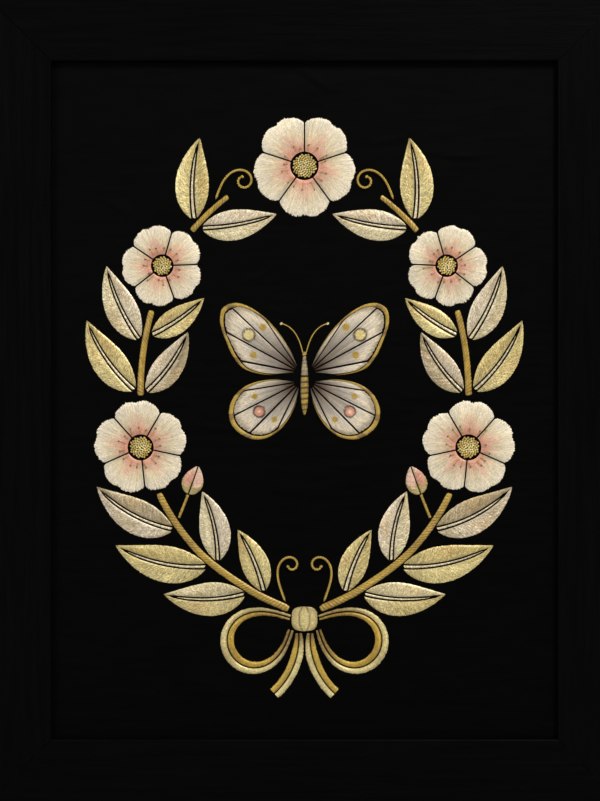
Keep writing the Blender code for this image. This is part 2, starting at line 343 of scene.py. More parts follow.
# Rails of the frame, in metres: how far their long edges are rubbed round, what counts as long, and
# within what distance two points are one
EDGE_WEAR = 0.0004
LONG_EDGE = 0.1
SAME_POINT = 0.00002

# Degrees between two faces from which their edge is sharp, and under which the two are one
THREAD_SHARP = 65
CLOTH_SHARP = 60
WOOD_SHARP = 4
WOOD_FLAT = 1

# Scales of the materials' patterns, and how much of it is left along the wood's grain
MOTTLE_SCALE = 75.0
WEAVE_SCALE = 820.0
RIPPLE_SCALE = 55.0
SLUB_SCALE = 160.0
FIBRE_SCALE = 420.0
FLOOR_SCALE = 6.0
GRAIN_SCALE = 420.0
PORE_SCALE = 1700.0
GRAIN_STRETCH = 0.05

# Name, place, size, power and tint of each light, the studio's own light, half of the floor's width,
# and how far below the frame it lies
LIGHTS = (
    ("key", (0.9, -1.2, 1.5), 0.7, 40, (1.0, 0.97, 0.92)),
    ("fill", (-1.4, -1.3, 0.6), 0.9, 13, (0.96, 0.98, 1.0)),
    ("back", (0.5, 1.6, 0.9), 1.2, 16, (1.0, 1.0, 1.0)),
)
STUDIO_LIGHT = 0.12
FLOOR_HALF = 15.0
FLOOR_GAP = 0.0005


def silk(name):
    return np.array(COLOURS[name])


def grid_quads(index):
    """The faces of a grid of point numbers, as rows of four."""
    corners = (index[:-1, :-1], index[:-1, 1:], index[1:, 1:], index[1:, :-1])
    return np.stack(corners, axis=-1).reshape(-1, 4)


def blend(first, second, share):
    """Two colours mixed by an array of shares, each kept from 0 to 1."""
    share = np.clip(share, 0, 1)[..., None]
    return first * (1 - share) + second * share


def smooth_step(low, high, value):
    t = np.clip((value - low) / (high - low), 0, 1)
    return t * t * (3 - 2 * t)


def bump_at(value, middle, width):
    return np.exp(-(((value - middle) / width) ** 2))


def arch(share, power=0.5):
    """A rise from nothing at share 0 to one in the middle and back, blunter for a smaller power."""
    return np.maximum(np.sin(np.pi * share), 0.0) ** power


def half_round(share):
    """The height of a half circle across shares from 0 to 1."""
    return np.sqrt(np.maximum(0.0, 1 - (2 * share - 1) ** 2))


# Paths: rows x, z and heading, the heading in radians clockwise from +Z


def headings(x, z):
    return np.unwrap(np.arctan2(np.gradient(x), np.gradient(z)))


def walk(start, heading, length, turn, curl=1.0, steps=240):
    share = (np.arange(steps) + 0.5) / steps
    angles = np.radians(heading + turn * share**curl)
    x = start[0] + np.concatenate([[0], np.cumsum(np.sin(angles))]) * length / steps
    z = start[1] + np.concatenate([[0], np.cumsum(np.cos(angles))]) * length / steps
    ends = np.arange(steps + 1) / steps
    return np.array([x, z, np.radians(heading + turn * ends**curl)])


def smooth_curve(rows, samples):
    """A Catmull-Rom curve through the rows."""
    table = np.array(rows, float)
    table = np.concatenate([[2 * table[0] - table[1]], table, [2 * table[-1] - table[-2]]])
    place = np.linspace(0, len(rows) - 1, samples)
    left = np.minimum(place.astype(int), len(rows) - 2)
    t = (place - left)[:, None]
    before, near, far, after = (table[left + step] for step in range(4))
    return 0.5 * (
        2 * near
        + (far - before) * t
        + (2 * before - 5 * near + 4 * far - after) * t**2
        + (3 * near - before - 3 * far + after) * t**3
    )


def route(points, steps=400):
    curve = smooth_curve(points, 2000)
    travelled = np.concatenate([[0], np.cumsum(np.hypot(*np.diff(curve, axis=0).T))])
    even = np.linspace(0, travelled[-1], steps + 1)
    x = np.interp(even, travelled, curve[:, 0])
    z = np.interp(even, travelled, curve[:, 1])
    return np.array([x, z, headings(x, z)])


def length_of(path):
    return float(np.hypot(np.diff(path[0]), np.diff(path[1])).sum())


def along(path, share, offset=0.0):
    """Points at shares of the path's length, offset to its right. Shares and offsets may be arrays."""
    steps = np.linspace(0, 1, path.shape[1])
    x, z, heading = (np.interp(share, steps, row) for row in path)
    return x + offset * np.cos(heading), z - offset * np.sin(heading)


def sprout(share, side, lean, length, turn, curl=1.0):
    """The path of what grows from the branch, from just clear of the stem's edge."""
    start = along(BRANCH, share, side * (STEM_HALF_WIDTH + STEM_CLEARANCE))
    heading = np.interp(share, np.linspace(0, 1, BRANCH.shape[1]), BRANCH[2])
    return walk(start, math.degrees(heading) + side * lean, length, side * turn, curl)


def swell(share, fullness, blunt):
    """How full a leaf is at shares of its length: nothing at both ends, fullest nearer the base."""
    return arch(np.clip(share, 0, 1) ** fullness, blunt)


class Stitching:
    """Gathers the closed thread bodies of one motif, in millimetres, and turns them into one mesh."""

    def __init__(self, name, flip=1):
        self.name = name
        self.flip = flip
        self.random = np.random.default_rng([ord(letter) for letter in name])
        self.points = []
        self.colours = []
        self.stitches = []
        self.faces = []
        self.count = 0

    def body(self, x, height, z, colours, stitches, quads, caps):
        """One closed body, its faces turned outwards. Quads is an array, and caps are its end faces."""
        points = np.stack([self.flip * x, -height, z], axis=-1).reshape(-1, 3)
        corners = [quads[:, :3], quads[:, [0, 2, 3]]]
        for cap in caps:
            corners.append(np.array([(cap[0], cap[i], cap[i + 1]) for i in range(1, len(cap) - 1)]))
        first, second, third = np.moveaxis(points[np.concatenate(corners)], 1, 0)
        step = -1 if np.einsum("ij,ij->", first, np.cross(second, third)) < 0 else 1
        for face in [*quads.tolist(), *caps]:
            self.faces.append([index + self.count for index in face[::step]])
        self.points.append(points)
        self.colours.append(np.clip(colours, 0.002, 0.95).reshape(-1, 3))
        self.stitches.append(stitches.reshape(-1, 3))
        self.count += len(points)

    def threads(self, count, place, rise, shade, rows=8, ridge=GROOVE, jitter=0.12, fleck=0.07):
        """A patch of threads. place(u, v) gives x and z, with u across the threads and v along them.

        rise(u, v) is the padding under the threads in mm. shade(u, v, grain) is their colour, where grain
        is a random number for each thread. The first and the last row lie on the silk, and the back
        joins them.
        """
        columns = 2 * count + 1
        crest = (np.arange(columns) % 2)[None, :]
        thread = np.minimum(np.arange(columns) // 2, count - 1)
        steps = np.linspace(0, 1, rows)
        eased = EVENNESS * steps + (1 - EVENNESS) * (1 - np.cos(np.pi * steps)) / 2
        u, v = np.meshgrid(np.linspace(0, 1, columns), eased)
        x, z = place(u, v)
        reach = np.maximum(np.hypot(x[-1] - x[0], z[-1] - z[0]), 1.0)
        pull = self.random.normal(0, jitter, count)[thread] / reach * v**3
        x, z = x + (x - x[0]) * pull, z + (z - z[0]) * pull
        dip = arch(v, END_ROUNDNESS)
        dip[[0, -1]] = 0.0
        loft = self.random.normal(1, LOFT_SPREAD, count)[thread]
        height = (THREAD_BASE + ridge * crest * loft + rise(u, v)) * dip
        grain = self.random.normal(0, 1, count)[thread] * np.ones_like(u)
        flecks = self.random.normal(0, 1, (rows, count))[:, thread]
        # Painted shade: the grooves between the threads are darker
        tone = 1 + TONE_SPREAD * grain + fleck * flecks - GROOVE_SHADE * (1 - crest)
        colours = shade(u, v, grain) * tone[..., None]
        patch = self.random.uniform(0, 50) * np.ones_like(u)
        stitches = np.stack([u * count, v * reach, patch], axis=-1)
        index = np.arange(rows * columns).reshape(rows, columns)
        back = np.stack([index[0, :-1], index[-1, :-1], index[-1, 1:], index[0, 1:]], axis=-1)
        quads = np.concatenate([grid_quads(index), back])
        caps = [index[::-1, -1].tolist(), index[:, 0].tolist()]
        self.body(x, height - SINK, z, colours, stitches, quads, caps)

    def tube(self, x, height, z, colours, stitches):
        """A closed tube, its rings along the first axis of the arrays."""
        rings, sides = x.shape
        index = np.arange(rings * sides).reshape(rings, sides)
        around = np.roll(index, -1, axis=1)
        quads = np.stack([index[:-1], around[:-1], around[1:], index[1:]], axis=-1).reshape(-1, 4)
        caps = [index[0, ::-1].tolist(), index[-1].tolist()]
        self.body(x, height, z, colours, stitches, quads, caps)

    def knot(self, x, z, radius, base, paint, around=10, rings=6):
        """A French knot: a squashed ball of thread with a dimple at its top."""
        tilt, angle = np.meshgrid(
            np.linspace(0, math.pi / 2, rings), np.arange(around) * 2 * math.pi / around, indexing="ij"
        )
        angle = angle + self.random.uniform(0, math.pi)
        out = radius * (np.cos(tilt) ** 0.75 * (1 + 0.10 * np.sin(2 * angle)) + 0.04)
        height = base + radius * (1.15 * np.sin(tilt) - 0.35 * (tilt > 1.5))
        # Painted shade and highlight: each knot darker low down where it meets the silk, lighter on top
        tone = (0.70 + 0.35 * np.sin(tilt)) * (1 + 0.12 * self.random.normal())
        stitches = np.stack([tilt * 3, angle * radius, angle], axis=-1)
        around_x, around_z = x + out * np.cos(angle), z + out * np.sin(angle)
        self.tube(around_x, height - SINK, around_z, paint * tone[..., None], stitches)

    def rope(self, path, radius, twist, paint, lift=0.0, plies=2, sides=6):
        """A couched thread of plies twisted round each other along a path."""
        length = length_of(path)
        steps = max(8, int(length / ROPE_STEP))
        share, angle = np.meshgrid(
            np.linspace(0, 1, steps + 1), np.arange(sides) * 2 * math.pi / sides, indexing="ij"
        )
        taper = np.clip(np.minimum(share, 1 - share) * steps / 3, 0.25, 1.0)
        ply_radius = radius * (PLY_SHARE if plies > 1 else 1.0) * taper
        orbit = radius * (ORBIT_SHARE if plies > 1 else 0.0) * taper
        for ply in range(plies):
            phase = 2 * np.pi * (share * length / twist + ply / plies)
            aside = orbit * np.sin(phase) + ply_radius * np.cos(angle)
            height = lift + radius * taper + 0.8 * orbit * np.cos(phase) + ply_radius * np.sin(angle)
            x, z = along(path, share, aside)
            tone = 1 + 0.08 * self.random.normal(size=(steps + 1, 1)) * np.ones_like(share)
            stitches = np.stack([angle, share * length, 10.0 * ply + 0 * share], axis=-1)
            self.tube(x, height, z, paint * tone[..., None], stitches)

    def piece(self, material):
        points = np.concatenate(self.points) * MM
        points[:, 1] += SILK_FRONT
        data = bpy.data.meshes.new(f"{self.name}_threads")
        data.from_pydata(points.tolist(), [], self.faces)
        colours = np.concatenate(self.colours)
        paint = data.attributes.new("thread", "FLOAT_COLOR", "POINT")
        paint.data.foreach_set("color", np.column_stack([colours, np.ones(len(colours))]).ravel())
        stitch = data.attributes.new("stitch", "FLOAT_VECTOR", "POINT")
        stitch.data.foreach_set("vector", np.concatenate(self.stitches).ravel())
        dress(data, material, THREAD_SHARP, self.name)


def add_object(data, name):
    made = bpy.data.objects.new(name, data)
    bpy.context.scene.collection.objects.link(made)
    return made


def dress(data, material, sharp_angle, node):
    """The object of a mesh that stands for a solid of the frame."""
    data.validate()
    data.shade_smooth()
    data.set_sharp_from_angle(angle=math.radians(sharp_angle))
    data.materials.append(material)
    made = add_object(data, data.name)
    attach(made, "root")
    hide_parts(node)
    return made


def both_sides(name):
    return ((f"{name}_right", 1), (f"{name}_left", -1))


# Materials


class Nodes:
    """A material's node tree, with short ways to add and link nodes."""

    def __init__(self, name):
        self.material = bpy.data.materials.new(name)
        self.material.use_nodes = True
        self.tree = self.material.node_tree
        self.shader = self.tree.nodes["Principled BSDF"]
        self.place = self.add("TexCoord").outputs["Object"]

    def add(self, kind, **settings):
        node = self.tree.nodes.new(f"ShaderNode{kind}")
        for name, value in settings.items():
            setattr(node, name, value)
        return node

    def link(self, output, target):
        self.tree.links.new(output, target)

    def set(self, node, **values):
        for name, value in values.items():
            node.inputs[name.replace("_", " ")].default_value = value

    def noise(self, vector, scale, detail=2.0):
        node = self.add("TexNoise")
        self.link(vector, node.inputs["Vector"])
        self.set(node, Scale=scale, Detail=detail)
        return node.outputs["Fac"]

    def stretch(self, vector, scale):
        node = self.add("Mapping")
        self.link(vector, node.inputs["Vector"])
        self.set(node, Scale=scale)
        return node.outputs["Vector"]

    def spread(self, value, low, high, start=0.0, end=1.0):
        """A value from start to end turned into one from low to high."""
        node = self.add("MapRange")
        self.link(value, node.inputs["Value"])
        self.set(node, From_Min=start, From_Max=end, To_Min=low, To_Max=high)
        return node.outputs["Result"]

    def math(self, operation, first, second):
        node = self.add("Math", operation=operation)
        for socket, value in zip(node.inputs, (first, second)):
            if isinstance(value, float):
                socket.default_value = value
            else:
                self.link(value, socket)
        return node.outputs["Value"]

    def ramp(self, value, dark, light, low=0.3, high=0.7):
        node = self.add("ValToRGB")
        self.link(value, node.inputs["Fac"])
        for element, position, paint in zip(node.color_ramp.elements, (low, high), (dark, light)):
            element.position = position
            element.color = (*paint, 1)
        self.link(node.outputs["Color"], self.shader.inputs["Base Color"])

    def bump(self, height, strength, distance):
        node = self.add("Bump")
        self.set(node, Strength=strength, Distance=distance)
        self.link(height, node.inputs["Height"])
        self.link(node.outputs["Normal"], self.shader.inputs["Normal"])


def thread_material(name, roughness=0.40, metallic=0.0, speckle_and_glint=0.20):
    """Floss: the mesh gives each thread its colour, and the nodes its fibres, stitches and painted glints.
    """
    floss = Nodes(name)
    paint = floss.add("Attribute", attribute_name="thread")
    stitch = floss.add("Attribute", attribute_name="stitch").outputs["Vector"]
    fibre = floss.noise(floss.stretch(stitch, (3.0, 0.35, 1.0)), scale=1.0)
    # Painted glints: flecks of lighter and darker colour along the threads
    glint = floss.noise(floss.stretch(stitch, (1.2, 0.85, 1.0)), scale=1.0, detail=1.0)
    cell = floss.add("VectorMath", operation="FLOOR")
    floss.link(floss.stretch(stitch, (1.0, 0.42, 1.0)), cell.inputs[0])
    stitch_tone = floss.add("TexWhiteNoise")
    floss.link(cell.outputs["Vector"], stitch_tone.inputs["Vector"])
    tones = (
        floss.spread(fibre, 0.80, 1.20, start=0.25, end=0.75),
        floss.spread(stitch_tone.outputs["Value"], 1 - speckle_and_glint * 0.6, 1 + speckle_and_glint * 0.5),
        floss.spread(glint, 1 - 1.1 * speckle_and_glint, 1 + 1.2 * speckle_and_glint, start=0.36, end=0.66),
        floss.spread(floss.noise(floss.place, MOTTLE_SCALE, 3.0), 0.92, 1.08, start=0.3, end=0.7),
    )
    tone = tones[0]
    for other in tones[1:]:
        tone = floss.math("MULTIPLY", tone, other)
    scaled = floss.add("VectorMath", operation="SCALE")
    floss.link(paint.outputs["Color"], scaled.inputs[0])
    floss.link(tone, scaled.inputs["Scale"])
    floss.link(scaled.outputs["Vector"], floss.shader.inputs["Base Color"])
    floss.bump(fibre, strength=0.3, distance=0.00006)
    floss.set(floss.shader, Roughness=roughness, Metallic=metallic, Sheen_Weight=0.06, Sheen_Roughness=0.4)
    return floss.material


def silk_ground_material():
    """Black silk: a fine plain weave with slubs and a soft unevenness."""
    ground = Nodes("black_silk_weave")
    weave = None
    for direction in ("X", "Z"):
        wave = ground.add("TexWave", bands_direction=direction)
        ground.link(ground.place, wave.inputs["Vector"])
        ground.set(wave, Scale=WEAVE_SCALE, Distortion=1.2, Detail=2.0)
        weave = wave.outputs["Fac"] if weave is None else ground.math("ADD", weave, wave.outputs["Fac"])
    ripple = ground.math("MULTIPLY", ground.noise(ground.place, RIPPLE_SCALE, detail=3.0), 6.0)
    ground.bump(ground.math("ADD", weave, ripple), strength=0.50, distance=0.00008)
    slub = ground.noise(ground.stretch(ground.place, (0.25, 1.0, 1.6)), SLUB_SCALE, detail=5.0)
    ground.ramp(slub, dark=(0.0003, 0.0003, 0.0003), light=(0.0010, 0.0010, 0.0010))
    ground.set(
        ground.shader, Roughness=0.45, Specular_IOR_Level=0.024, Sheen_Weight=0.360, Sheen_Roughness=0.30
    )
    return ground.material


def wood_material(name, drawn_out):
    """Ebonised wood: a dull black finish over a grain that is drawn out one way, and its open pores."""
    wood = Nodes(name)
    grain = wood.noise(wood.stretch(wood.place, drawn_out), GRAIN_SCALE, detail=4.0)
    pores = wood.noise(wood.stretch(wood.place, drawn_out), PORE_SCALE, detail=2.0)
    wood.ramp(grain, (0.0005, 0.0005, 0.0005), (0.0013, 0.0013, 0.0013), low=0.35, high=0.70)
    relief = wood.math("ADD", grain, wood.spread(pores, 0.0, 0.6, start=0.35, end=0.55))
    wood.bump(relief, strength=0.3, distance=0.00015)
    wood.set(wood.shader, Roughness=0.46, Specular_IOR_Level=0.04)
    return wood.material


def board_material():
    board = Nodes("fibreboard")
    fibre = board.noise(board.place, FIBRE_SCALE, detail=6.0)
    board.ramp(fibre, (0.110, 0.070, 0.038), (0.240, 0.165, 0.100), low=0.30, high=0.72)
    board.bump(fibre, strength=0.4, distance=0.0003)
    board.set(board.shader, Roughness=0.88)
    return board.material


# Motifs


def leaf(name, flip, share, side, lean, length, width, turn, outer, inner, material):
    """A leaf in two halves of slanted satin stitch, parted by dark voids and a slim cream rib."""
    path = sprout(share, side, lean, length, -turn)
    work = Stitching(name, flip)
    rib_end = work.random.uniform(0.80, 0.88)
    rib_base = work.random.uniform(0.85, 1.15)

    def leaf_width(t):
        return width / 2 * swell(t, LEAF_FULLNESS, LEAF_BLUNTNESS)

    def rib_width(t):
        return (RIB_TIP + RIB_TAPER * (1 - t)) * rib_base * np.clip((rib_end - t) / 0.12, 0, 1) ** 0.6

    def inner_edge(t):
        void = VOID * np.clip((0.95 - t) / 0.08, 0.03, 1)
        return np.minimum(rib_width(t) + void, leaf_width(t) * 0.9)

    def rise(u, v):
        return LEAF_LOFT * arch(v) * swell(u, LEAF_FULLNESS, 0.4)

    # Each half in its own silk; how much lighter one half is than the other is partly painted sheen
    for half, main, shadow in ((1, silk(outer), silk(inner)), (-1, silk(inner), silk(outer))):
        drift = work.random.uniform(0, 6.28, 3)
        main = main * work.random.uniform(0.92, 1.06)
        warm_place = work.random.uniform(0.25, 0.70)
        warmth = work.random.uniform(0.0, 0.40)

        def place(u, v):
            t = LEAF_END_GAP + (1 - 2 * LEAF_END_GAP) * u
            far = np.clip(t + LEAF_SLANT * arch(t, 0.8), 0, 1)
            near_offset = inner_edge(t)
            far_offset = np.maximum(leaf_width(far), near_offset * 0.2)
            return along(path, t + (far - t) * v, half * (near_offset + (far_offset - near_offset) * v))

        def shade(u, v, grain):
            wave = np.sin(5 * u + drift[0]) + 0.6 * np.sin(9.5 * u + 3 * v + drift[1])
            paint = blend(main, shadow, 0.10 + 0.14 * wave + 0.10 * grain)
            warm = warmth * bump_at(u, warm_place, 0.16) * smooth_step(0.0, 0.4, v)
            paint = blend(paint, silk("amber"), warm + 0.06 * grain)
            base = smooth_step(0.32, 0.0, u + 0.1 * v) * 0.6 + 0.10 * np.sin(14 * u + drift[2])
            paint = blend(paint, silk("olive"), base)
            # Painted shade beside the rib's void, where the threads sink to the silk; lighter towards the
            # outer edge
            edge = 1 + 0.16 * smooth_step(0.84, 0.97, v) - 0.12 * smooth_step(0.22, 0.0, v)
            return paint * edge[..., None]

        work.threads(int(length / PITCH), place, rise, shade, rows=10)

    def rib_place(u, v):
        t = 0.02 + (rib_end - 0.02) * u
        return along(path, t + 0.012 * (v - 0.5), (2 * v - 1) * np.maximum(rib_width(t), 0.12))

    def rib_rise(u, v):
        return RIB_LOFT + 0 * u

    def rib_shade(u, v, grain):
        return blend(silk("cream"), silk("pale"), 0.35 + 0.2 * grain + 0.3 * smooth_step(0.3, 0.0, u))

    work.threads(int(length * rib_end / PITCH), rib_place, rib_rise, rib_shade, rows=4, ridge=0.10)
    work.piece(material)


def leaves():
    material = thread_material("leaf_floss", roughness=0.36, metallic=0.15, speckle_and_glint=0.36)
    for name, *growth in LEAVES:
        for side_name, flip in both_sides(name):
            leaf(side_name, flip, *growth, material)


def petal_reach(across):
    """Share of the flower's radius, across a petal from -1 to 1."""
    bulge = np.maximum(np.cos(across * math.pi / 2), 0.0) ** 0.6
    return PETAL_VALLEY + (1 - PETAL_VALLEY) * bulge - PETAL_NOTCH * bump_at(across, 0, NOTCH_WIDTH)


def petal(work, x, z, radius, middle):
    """A petal in long and short stitch, from a pink throat to a pale edge."""
    warmth = work.random.uniform(0.96, 1.04)
    half_angle = math.pi / PETALS

    def place(u, v):
        reach = radius * (THROAT_SHARE + (petal_reach(2 * u - 1) - THROAT_SHARE) * v)
        narrow = half_angle - np.arcsin(np.clip(VOID * 0.5 / reach, 0, 1))
        angle = middle + (2 * u - 1) * narrow
        return x + reach * np.sin(angle), z + reach * np.cos(angle)

    def rise(u, v):
        across = 2 * u - 1
        cup = 0.22 * bump_at(across, 0, 0.25) * smooth_step(0.2, 1.0, v)
        return PETAL_LOFT * (1 - across**4) - cup + 0.05 * np.sin(9 * across)

    def shade(u, v, grain):
        across = 2 * u - 1
        throat = 0.34 + 0.11 * grain + 0.16 * bump_at(across, 0, 0.30)
        blush = 1 - smooth_step(throat - 0.20, throat + 0.10, v)
        streak = 0.35 * bump_at(across, 0, 0.10) * (1 - smooth_step(0.5, 0.9, v))
        deep = 1 - smooth_step(0.02, 0.26 + 0.06 * grain, v)
        paint = blend(silk("cream"), silk("white"), smooth_step(0.45, 1.0, v) * 0.8)
        paint = blend(paint, silk("pale"), 0.16 + 0.10 * np.sin(7 * across + middle) + 0.05 * grain)
        paint = blend(paint, silk("pale_pink"), blush + streak)
        paint = blend(paint, silk("pink"), deep)
        # Painted shade at the petal's sides beside the voids between petals; a little lighter at the rim
        edge = 1 - 0.16 * smooth_step(0.72, 1.0, np.abs(across)) + 0.06 * smooth_step(0.88, 0.97, v)
        return paint * warmth * edge[..., None]

    count = int(2 * math.pi * radius / PETALS / PITCH)
    work.threads(count, place, rise, shade, rows=13, ridge=GROOVE * 0.9, jitter=0.25, fleck=0.05)


def eye(work, x, z, radius, turn):
    """The middle of a flower: knots in a spiral, bright in the middle, and stamens round them."""
    size = radius * EYE_SHARE
    knots = int((size / KNOT_RADIUS) ** 2 * 0.66)
    golden_angle = math.pi * (3 - math.sqrt(5))
    for number in range(knots):
        rim = math.sqrt((number + 0.5) / knots)
        out = (size - KNOT_RADIUS) * rim
        angle = golden_angle * number + turn
        paint = blend(silk("bright"), silk("old_gold"), np.array(rim**2 + 0.25 * work.random.normal()))
        dome = EYE_LOFT * (1 - rim**2)
        work.knot(x + out * math.cos(angle), z + out * math.sin(angle), KNOT_RADIUS, dome, paint)
    for number in range(PETALS * STAMENS_A_PETAL):
        direction = turn + 360 / PETALS * (number - 1) / STAMENS_A_PETAL
        angle = math.radians(direction) + 0.05 * work.random.normal()
        start = STAMEN_START * radius
        length = (STAMEN_END + 0.04 * work.random.normal()) * radius - start
        root = (x + start * math.sin(angle), z + start * math.cos(angle))
        filament = walk(root, math.degrees(angle), length, work.random.normal() * 12, steps=20)
        work.rope(filament, STAMEN_RADIUS, 3.0, silk("old_gold"), lift=STAMEN_LIFT, plies=1)
        work.knot(*filament[:2, -1], ANTHER_RADIUS, ANTHER_LIFT, silk("dark_gold") * 1.3)


def bloom(name, flip, x, z, radius, turn, material):
    work = Stitching(name, flip)
    for number in range(PETALS):
        petal(work, x, z, radius, math.radians(turn + 360 / PETALS * number))
    eye(work, x, z, radius, turn)
    work.piece(material)


def blooms():
    material = thread_material("petal_floss", roughness=0.40, speckle_and_glint=0.15)
    for name, share, offset, radius, turn in BLOOMS:
        x, z = along(BRANCH, share, offset)
        for side_name, flip in both_sides(name):
            bloom(side_name, flip, x, z, radius, turn, material)
    bloom("bloom_top", 1, *TOP_BLOOM, material)


def twilled(paint, edge_paint, stripes, depth):
    """The shading of a band: painted shade towards both edges, uneven along it, and slanted stripes across
    it.
    """

    def shade(u, v, grain):
        wave = 0.12 * np.sin(9 * u + 1) + 0.08 * np.sin(31 * u)
        # Painted shade where the rounded band turns down at both edges
        rim = 0.45 * np.abs(2 * v - 1) ** 3
        stripe = depth * smooth_step(0.1, 0.8, np.cos(2 * np.pi * stripes * u))
        return blend(paint, edge_paint, 0.10 + wave + rim + 0.12 * grain + stripe)

    return shade


def satin_band(work, path, half_width, shade, start, end, slant, padding=BAND_LOFT, rows=7):
    """Threads across part of a path, leaning forwards by slant mm, but straight across at both ends."""
    length = length_of(path) * (end - start)

    def place(u, v):
        lean = slant / length * (v - 0.5) * arch(u)
        inside = np.clip(u + lean, 0, 1)
        return along(path, start + (end - start) * inside, (2 * v - 1) * half_width(inside))

    def rise(u, v):
        return padding * half_round(v)

    work.threads(max(6, int(length / PITCH)), place, rise, shade, rows=rows)


def stems():
    material = thread_material("stem_floss", roughness=0.38, metallic=0.15, speckle_and_glint=0.22)
    for name, start, end, first, last in STEMS:
        stitches = int(length_of(BRANCH) * (end - start) / STEM_STITCH)
        # The slanted stripes are painted shade in the grooves between the stem stitches
        shade = twilled(silk("old_gold") * 1.25, silk("dark_gold"), stitches, 0.6)

        def half_width(u):
            rounded = np.clip(np.minimum(u, 1 - u) * 40, 0.0, 1.0) ** 0.5
            return (first + (last - first) * u) / 2 * (0.6 + 0.4 * rounded)

        for side_name, flip in both_sides(name):
            work = Stitching(side_name, flip)
            satin_band(work, BRANCH, half_width, shade, start, end, slant=STEM_SLANT)
            work.piece(material)
    for name, *growth in TENDRILS:
        path = sprout(*growth)
        for side_name, flip in both_sides(name):
            work = Stitching(side_name, flip)
            work.rope(path, TENDRIL_RADIUS, TENDRIL_TWIST, silk("old_gold"))
            work.knot(*path[:2, -1], TENDRIL_KNOT, 0.0, silk("old_gold"))
            work.piece(material)
    butterfly_body(material)


def butterfly_body(material):
    """Thorax and striped abdomen in satin stitch, with two couched feelers that end in knots."""
    work = Stitching("butterfly_body")
    path = walk((0, BODY_START), 0, BODY_LENGTH, 0)
    for start, end, paint, stripes, depth in BODY_PARTS:

        def half_width(u):
            share = start + (end - start) * u
            return np.maximum(0.3, BODY_HALF_WIDTH * swell(share, 0.8, 0.6))

        shade = twilled(silk(paint), silk("umber"), stripes, depth)
        satin_band(work, path, half_width, shade, start, end, slant=0.4, padding=BODY_LOFT)
    work.knot(0, BODY_START + BODY_LENGTH * HEAD_PLACE, HEAD_RADIUS, 0.0, silk("old_gold"))
    for flip in (1, -1):
        feeler = walk(*FEELER)
        feeler[0] *= flip
        feeler[2] *= flip
        work.rope(feeler, FEELER_RADIUS, FEELER_TWIST, silk("old_gold"))
        work.knot(*feeler[:2, -1], FEELER_KNOT, 0.0, silk("bright"))
    work.piece(material)


def buds():
    material = thread_material("bud_floss", roughness=0.42, speckle_and_glint=0.14)
    for name, share, side, lean, length, width, turn in BUDS:
        path = sprout(share, side, lean, length, -turn)
        for side_name, flip in both_sides(name):
            bud(side_name, flip, path, length, width, material)


def bud(name, flip, path, length, width, material):
    """A closed flower: a stalk, then a head in two halves of satin stitch with a green-gold cup."""
    work = Stitching(name, flip)

    def stalk_width(u):
        return BUD_STALK_WIDTH / 2 + 0 * u

    # The stalk's stripes are painted shade in the grooves between its stitches
    stalk = twilled(silk("old_gold") * 1.2, silk("dark_gold"), 9, 0.5)
    satin_band(work, path, stalk_width, stalk, 0.0, BUD_STALK_SHARE, BUD_STALK_SLANT, STALK_LOFT, 5)
    for half, paint in ((1, silk("pink")), (-1, silk("pale_pink"))):

        def place(u, v):
            head = 0.03 + 0.96 * u
            leaning = np.clip(head + 0.14 * v * np.sin(np.pi * head), 0, 1)
            full = np.maximum(width / 2 * swell(leaning, 0.8, 0.75), SLIM_VOID * 1.2)
            share = BUD_STALK_SHARE + (1 - BUD_STALK_SHARE) * leaning
            return along(path, share, half * (SLIM_VOID + (full - SLIM_VOID) * v))

        def rise(u, v):
            return BUD_LOFT * arch(v) * swell(u, 0.8, 0.5)

        def shade(u, v, grain):
            tip = blend(paint, silk("cream"), smooth_step(0.5, 1.0, u + 0.08 * grain) * 0.7)
            sepal = 0.20 + 0.26 * (2 * v - 1) ** 2
            cup = 1 - smooth_step(sepal - 0.03, sepal + 0.03, u + 0.02 * grain)
            return blend(tip, silk("olive") * 1.25, cup)

        work.threads(int(length * (1 - BUD_STALK_SHARE) / PITCH), place, rise, shade, rows=12)
    work.piece(material)


def loop_path(samples=200):
    """One lobe of a figure of eight, tilted down at its outer end."""
    angles = np.linspace(-LOOP_LOWER_CLOSURE, LOOP_UPPER_CLOSURE, samples) * math.pi / 4
    reach = LOOP_REACH * np.sqrt(np.cos(2 * angles))
    out = reach * np.cos(angles)
    up = reach * np.sin(angles) * LOOP_FULLNESS
    droop = math.radians(-LOOP_DROOP)
    x = LOOP_START + out * math.cos(droop) - up * math.sin(droop)
    z = KNOT_HEIGHT + out * math.sin(droop) + up * math.cos(droop)
    return np.array([x, z, headings(x, z)])


def ribbon(name, flip, path, half_width, fold_shade, material):
    """A ribbon in two bands of satin stitch, the outer one lighter, with a void between them."""
    work = Stitching(name, flip)
    for side, main in ((1, silk("bright")), (-1, silk("old_gold") * 1.25)):

        def place(u, v):
            return along(path, u, side * (SLIM_VOID + (half_width(u) - SLIM_VOID) * v))

        def rise(u, v):
            return BAND_LOFT * arch(v)

        def shade(u, v, grain):
            sheen = 0.12 * np.sin(15 * u + 1) + 0.10 * grain
            # Painted shade at the folds and where the ribbon meets the knot
            paint = blend(main, silk("dark_gold"), 0.8 * fold_shade(u) + sheen)
            # Painted shade beside the void between the two bands
            return paint * (1 - 0.12 * smooth_step(0.3, 0.0, v))[..., None]

        work.threads(int(length_of(path) / PITCH), place, rise, shade)
    work.piece(material)


